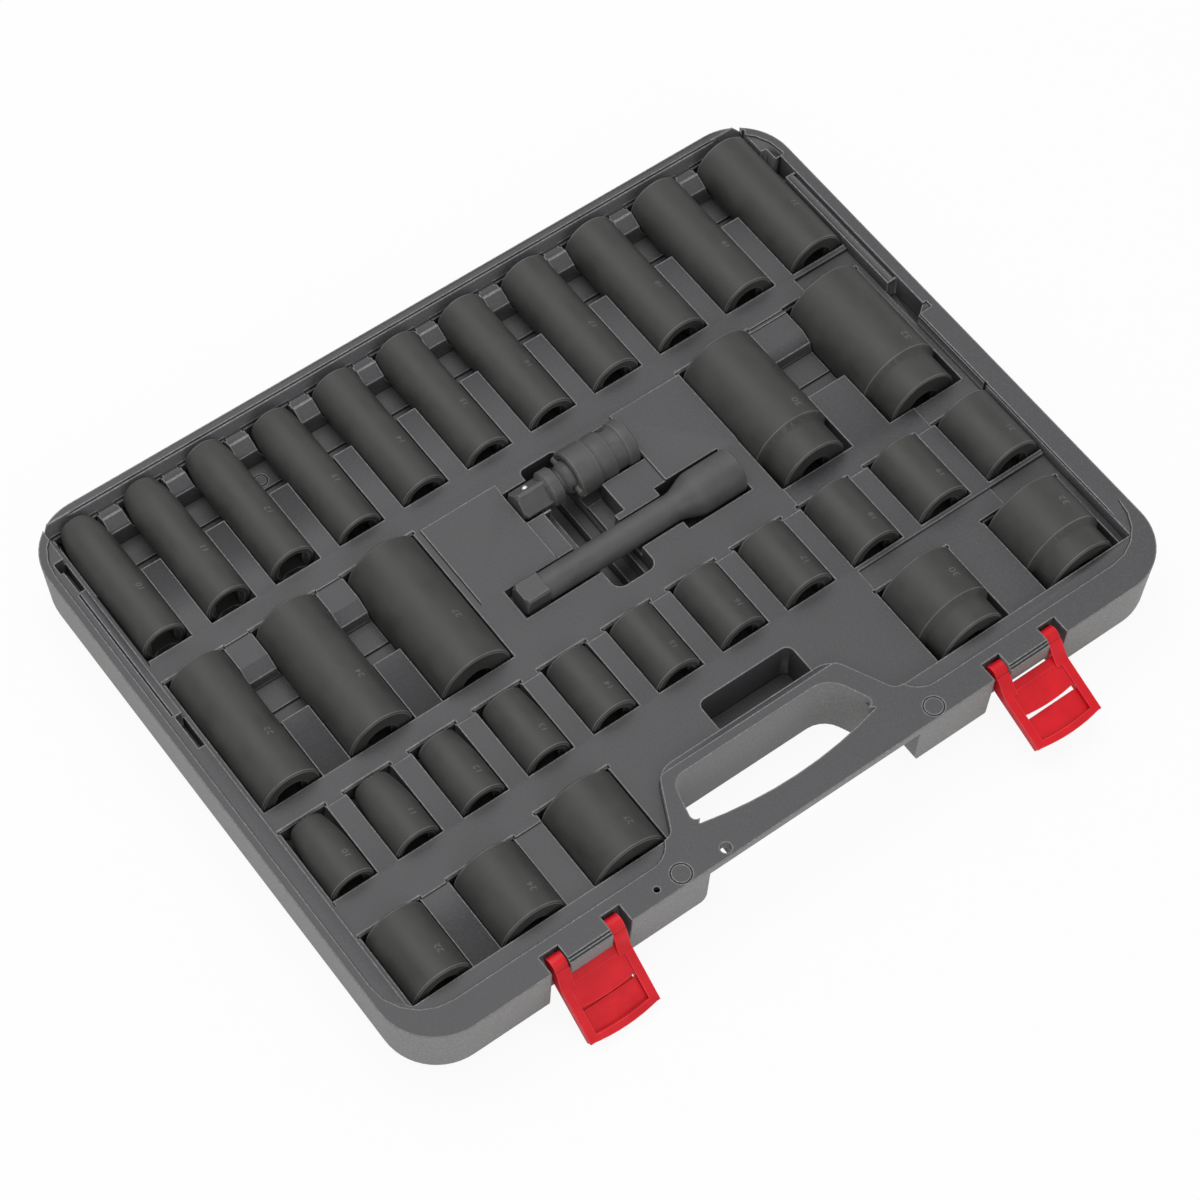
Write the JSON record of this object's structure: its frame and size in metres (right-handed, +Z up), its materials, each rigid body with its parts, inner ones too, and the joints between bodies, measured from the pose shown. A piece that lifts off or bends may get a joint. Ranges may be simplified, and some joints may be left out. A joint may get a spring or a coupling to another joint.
{
  "type": "socket wrench set in case",
  "caption": "Impact socket set lying in the open base of its moulded carrying case, with deep and standard sockets, an extension bar and a universal joint.",
  "frame": {"origin": "centre of the underside of the case base", "axes": "+X to the right along the front of the case, +Y to the back, +Z up out of the open case"},
  "size_m": [0.435, 0.3632, 0.0485],
  "materials": {
    "case_plastic": "blow-moulded polyethylene, fine grain inside and coarser grain outside",
    "latch_plastic": "injection-moulded red plastic, satin",
    "socket_steel": "black phosphated chrome-molybdenum steel, dull and slightly mottled",
    "bright_steel": "bare hardened steel"
  },
  "bodies": {
    "case": {"case_base": "case_plastic"},
    "latch_left": {"latch_left": "latch_plastic"},
    "latch_right": {"latch_right": "latch_plastic"},
    "deep_10": {"deep_10": "socket_steel"},
    "deep_11": {"deep_11": "socket_steel"},
    "deep_12": {"deep_12": "socket_steel"},
    "deep_13": {"deep_13": "socket_steel"},
    "deep_14": {"deep_14": "socket_steel"},
    "deep_15": {"deep_15": "socket_steel"},
    "deep_16": {"deep_16": "socket_steel"},
    "deep_17": {"deep_17": "socket_steel"},
    "deep_18": {"deep_18": "socket_steel"},
    "deep_19": {"deep_19": "socket_steel"},
    "deep_21": {"deep_21": "socket_steel"},
    "deep_22": {"deep_22": "socket_steel"},
    "deep_24": {"deep_24": "socket_steel"},
    "deep_27": {"deep_27": "socket_steel"},
    "deep_30": {"deep_30": "socket_steel"},
    "deep_32": {"deep_32": "socket_steel"},
    "std_10": {"std_10": "socket_steel"},
    "std_11": {"std_11": "socket_steel"},
    "std_12": {"std_12": "socket_steel"},
    "std_13": {"std_13": "socket_steel"},
    "std_14": {"std_14": "socket_steel"},
    "std_15": {"std_15": "socket_steel"},
    "std_16": {"std_16": "socket_steel"},
    "std_17": {"std_17": "socket_steel"},
    "std_18": {"std_18": "socket_steel"},
    "std_19": {"std_19": "socket_steel"},
    "std_21": {"std_21": "socket_steel"},
    "std_22": {"std_22": "socket_steel"},
    "std_24": {"std_24": "socket_steel"},
    "std_27": {"std_27": "socket_steel"},
    "std_30": {"std_30": "socket_steel"},
    "std_32": {"std_32": "socket_steel"},
    "extension": {"extension_bar": "socket_steel"},
    "extension_ball": {"extension_ball": "bright_steel"},
    "joint_housing": {"joint_housing": "socket_steel"},
    "joint_pin": {"joint_pin": "bright_steel"},
    "joint_drive": {"joint_drive": "socket_steel"},
    "joint_ball": {"joint_ball": "bright_steel"}
  },
  "joints": [
    {"name": "latch_left_swing", "type": "hinge", "parent": "case", "child": "latch_left", "pos_m": [-0.125, -0.1595, 0.0325], "axis": [-1, 0, 0], "range_deg": [0, 128]},
    {"name": "latch_right_swing", "type": "hinge", "parent": "case", "child": "latch_right", "pos_m": [0.125, -0.1595, 0.0325], "axis": [-1, 0, 0], "range_deg": [0, 112]},
    {"name": "deep_10_lift", "type": "slide", "parent": "case", "child": "deep_10", "axis": [0, 0, 1], "range_m": [0, 0.06]},
    {"name": "deep_11_lift", "type": "slide", "parent": "case", "child": "deep_11", "axis": [0, 0, 1], "range_m": [0, 0.06]},
    {"name": "deep_12_lift", "type": "slide", "parent": "case", "child": "deep_12", "axis": [0, 0, 1], "range_m": [0, 0.06]},
    {"name": "deep_13_lift", "type": "slide", "parent": "case", "child": "deep_13", "axis": [0, 0, 1], "range_m": [0, 0.06]},
    {"name": "deep_14_lift", "type": "slide", "parent": "case", "child": "deep_14", "axis": [0, 0, 1], "range_m": [0, 0.06]},
    {"name": "deep_15_lift", "type": "slide", "parent": "case", "child": "deep_15", "axis": [0, 0, 1], "range_m": [0, 0.06]},
    {"name": "deep_16_lift", "type": "slide", "parent": "case", "child": "deep_16", "axis": [0, 0, 1], "range_m": [0, 0.06]},
    {"name": "deep_17_lift", "type": "slide", "parent": "case", "child": "deep_17", "axis": [0, 0, 1], "range_m": [0, 0.06]},
    {"name": "deep_18_lift", "type": "slide", "parent": "case", "child": "deep_18", "axis": [0, 0, 1], "range_m": [0, 0.06]},
    {"name": "deep_19_lift", "type": "slide", "parent": "case", "child": "deep_19", "axis": [0, 0, 1], "range_m": [0, 0.06]},
    {"name": "deep_21_lift", "type": "slide", "parent": "case", "child": "deep_21", "axis": [0, 0, 1], "range_m": [0, 0.06]},
    {"name": "deep_22_lift", "type": "slide", "parent": "case", "child": "deep_22", "axis": [0, 0, 1], "range_m": [0, 0.06]},
    {"name": "deep_24_lift", "type": "slide", "parent": "case", "child": "deep_24", "axis": [0, 0, 1], "range_m": [0, 0.06]},
    {"name": "deep_27_lift", "type": "slide", "parent": "case", "child": "deep_27", "axis": [0, 0, 1], "range_m": [0, 0.06]},
    {"name": "deep_30_lift", "type": "slide", "parent": "case", "child": "deep_30", "axis": [0, 0, 1], "range_m": [0, 0.06]},
    {"name": "deep_32_lift", "type": "slide", "parent": "case", "child": "deep_32", "axis": [0, 0, 1], "range_m": [0, 0.06]},
    {"name": "std_10_lift", "type": "slide", "parent": "case", "child": "std_10", "axis": [0, 0, 1], "range_m": [0, 0.06]},
    {"name": "std_11_lift", "type": "slide", "parent": "case", "child": "std_11", "axis": [0, 0, 1], "range_m": [0, 0.06]},
    {"name": "std_12_lift", "type": "slide", "parent": "case", "child": "std_12", "axis": [0, 0, 1], "range_m": [0, 0.06]},
    {"name": "std_13_lift", "type": "slide", "parent": "case", "child": "std_13", "axis": [0, 0, 1], "range_m": [0, 0.06]},
    {"name": "std_14_lift", "type": "slide", "parent": "case", "child": "std_14", "axis": [0, 0, 1], "range_m": [0, 0.06]},
    {"name": "std_15_lift", "type": "slide", "parent": "case", "child": "std_15", "axis": [0, 0, 1], "range_m": [0, 0.06]},
    {"name": "std_16_lift", "type": "slide", "parent": "case", "child": "std_16", "axis": [0, 0, 1], "range_m": [0, 0.06]},
    {"name": "std_17_lift", "type": "slide", "parent": "case", "child": "std_17", "axis": [0, 0, 1], "range_m": [0, 0.06]},
    {"name": "std_18_lift", "type": "slide", "parent": "case", "child": "std_18", "axis": [0, 0, 1], "range_m": [0, 0.06]},
    {"name": "std_19_lift", "type": "slide", "parent": "case", "child": "std_19", "axis": [0, 0, 1], "range_m": [0, 0.06]},
    {"name": "std_21_lift", "type": "slide", "parent": "case", "child": "std_21", "axis": [0, 0, 1], "range_m": [0, 0.06]},
    {"name": "std_22_lift", "type": "slide", "parent": "case", "child": "std_22", "axis": [0, 0, 1], "range_m": [0, 0.06]},
    {"name": "std_24_lift", "type": "slide", "parent": "case", "child": "std_24", "axis": [0, 0, 1], "range_m": [0, 0.06]},
    {"name": "std_27_lift", "type": "slide", "parent": "case", "child": "std_27", "axis": [0, 0, 1], "range_m": [0, 0.06]},
    {"name": "std_30_lift", "type": "slide", "parent": "case", "child": "std_30", "axis": [0, 0, 1], "range_m": [0, 0.06]},
    {"name": "std_32_lift", "type": "slide", "parent": "case", "child": "std_32", "axis": [0, 0, 1], "range_m": [0, 0.06]},
    {"name": "extension_lift", "type": "slide", "parent": "case", "child": "extension", "axis": [0, 0, 1], "range_m": [0, 0.06]},
    {"name": "extension_ball_press", "type": "slide", "parent": "extension", "child": "extension_ball", "axis": [0, 1, 0], "range_m": [-0.0012, 0], "stiffness_N_per_m": 600},
    {"name": "joint_lift", "type": "slide", "parent": "case", "child": "joint_housing", "axis": [0, 0, 1], "range_m": [0, 0.06]},
    {"name": "joint_tilt", "type": "hinge", "parent": "joint_housing", "child": "joint_pin", "pos_m": [0.0142, 0.0429, 0.032], "axis": [0, 1, 0], "range_deg": [0, 30]},
    {"name": "joint_sway", "type": "hinge", "parent": "joint_pin", "child": "joint_drive", "pos_m": [0.0142, 0.0429, 0.032], "axis": [0, 0, 1], "range_deg": [-2, 2]},
    {"name": "joint_ball_press", "type": "slide", "parent": "joint_drive", "child": "joint_ball", "axis": [0, 0.7071, 0.7071], "range_m": [-0.0012, 0], "stiffness_N_per_m": 600}
  ]
}
